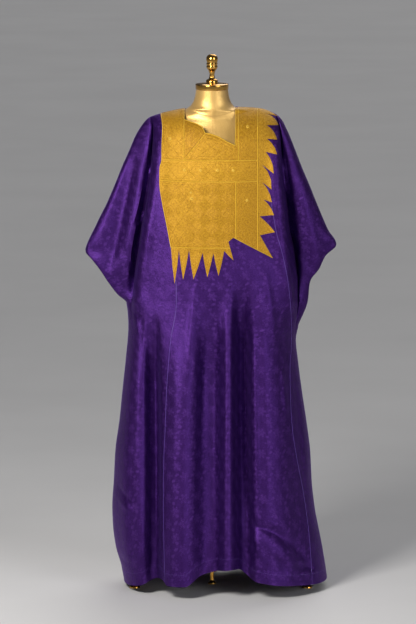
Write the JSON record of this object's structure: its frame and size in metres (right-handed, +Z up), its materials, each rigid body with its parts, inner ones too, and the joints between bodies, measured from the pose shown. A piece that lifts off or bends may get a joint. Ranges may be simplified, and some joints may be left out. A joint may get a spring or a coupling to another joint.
{
  "type": "kaftan on dress form",
  "caption": "Long wide-sleeved damask kaftan with a gold embroidered plastron, worn by a limbless dress form with a turned finial on a pole and tripod stand.",
  "frame": {"origin": "centre of the pole's foot, on the floor", "axes": "+Z up, -Y toward the front of the kaftan, +X toward the wearer's left"},
  "size_m": [0.7666, 0.5198, 1.6388],
  "materials": {
    "violet_cloth": "satin",
    "gold_embroidery": "matte",
    "form_satin": "satin",
    "brass": "polished"
  },
  "bodies": {
    "root": {"front_side_right_panel": "violet_cloth", "front_centre_panel": "violet_cloth", "front_side_left_panel": "violet_cloth", "back_side_right_panel": "violet_cloth", "back_centre_panel": "violet_cloth", "back_side_left_panel": "violet_cloth", "strap_right": "gold_embroidery", "neck_gusset": "gold_embroidery", "neck_piece": "gold_embroidery", "strap_left": "gold_embroidery", "chest_band": "gold_embroidery", "lower_panel": "gold_embroidery", "lower_corner": "gold_embroidery", "band_left": "gold_embroidery", "foot_teeth": "gold_embroidery", "form_body": "form_satin", "neck_cap": "brass", "finial": "brass", "pole": "brass", "hub": "brass", "leg_right": "brass", "leg_left": "brass", "leg_back": "brass", "foot_right": "brass", "foot_left": "brass", "foot_back": "brass"}
  },
  "joints": []
}
